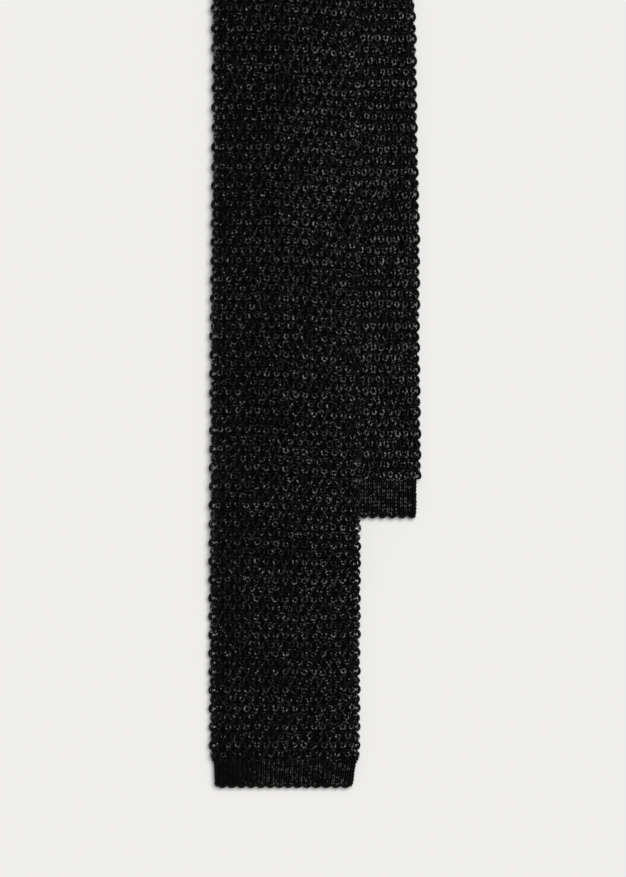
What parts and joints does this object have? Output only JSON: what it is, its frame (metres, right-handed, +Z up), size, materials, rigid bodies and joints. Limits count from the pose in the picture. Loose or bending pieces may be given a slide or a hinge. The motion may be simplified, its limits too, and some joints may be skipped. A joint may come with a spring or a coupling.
{
  "type": "necktie",
  "caption": "Square-ended silk knit necktie, folded once at the neck and laid flat with its wide front blade over the narrow back blade.",
  "frame": {"origin": "centre of the bounding box's underside, on the table that the folded tie lies on", "axes": "+X across the blades towards the showing side of the back blade, +Y along the blades towards the neck fold, +Z up from the table"},
  "size_m": [0.0884, 0.792, 0.012],
  "materials": {
    "knit": "near-black silk knit with raised bumps, satin lustre on the yarn",
    "hem": "near-black fine plain silk knit, soft lustre",
    "thread": "black sewing thread",
    "ribbon": "black woven satin ribbon, blank",
    "care": "dark woven label, blank"
  },
  "bodies": {
    "back_neck": {"neck_band_back": "knit", "neck_seam_thread_back": "thread", "neck_fold_knit": "knit", "neck_fold_seam_thread": "thread"},
    "back_blade": {"back_blade_upper": "knit", "back_join_thread": "thread", "back_blade_lower": "knit", "back_seam_thread_upper": "thread", "back_seam_thread_lower": "thread", "back_bar_tack": "thread", "back_hem_band": "hem", "back_hem_facing": "hem"},
    "front_upper": {"neck_band_front": "knit", "neck_seam_thread_front": "thread", "front_join_thread": "thread", "front_blade_upper": "knit", "front_seam_thread_upper": "thread"},
    "front_middle": {"front_blade_middle": "knit", "front_seam_thread_middle": "thread", "keeper_label": "ribbon", "keeper_stitch_left": "thread", "keeper_stitch_right": "thread", "care_label": "care", "care_label_stitch": "thread"},
    "front_tip": {"front_blade_tip": "knit", "front_seam_thread_tip": "thread", "front_bar_tack": "thread", "front_hem_band": "hem", "front_hem_facing": "hem"}
  },
  "joints": [
    {"name": "neck_fold", "type": "hinge", "parent": "back_neck", "child": "front_upper", "pos_m": [0, 0.3931, 0.006], "axis": [-1, 0, 0], "range_deg": [0, 180], "deforming": ["neck_fold_knit", "neck_fold_seam_thread"]},
    {"name": "front_blade_bend", "type": "hinge", "parent": "front_upper", "child": "front_middle", "pos_m": [0, -0.12, 0.0091], "axis": [1, 0, 0], "range_deg": [-90, 0]},
    {"name": "front_tip_bend", "type": "hinge", "parent": "front_middle", "child": "front_tip", "pos_m": [0, -0.316, 0.0091], "axis": [1, 0, 0], "range_deg": [-75, 0]},
    {"name": "back_blade_swing", "type": "hinge", "parent": "back_neck", "child": "back_blade", "pos_m": [0.0296, 0.062, 0.002], "axis": [0, 0, 1], "range_deg": [0, 12]}
  ]
}
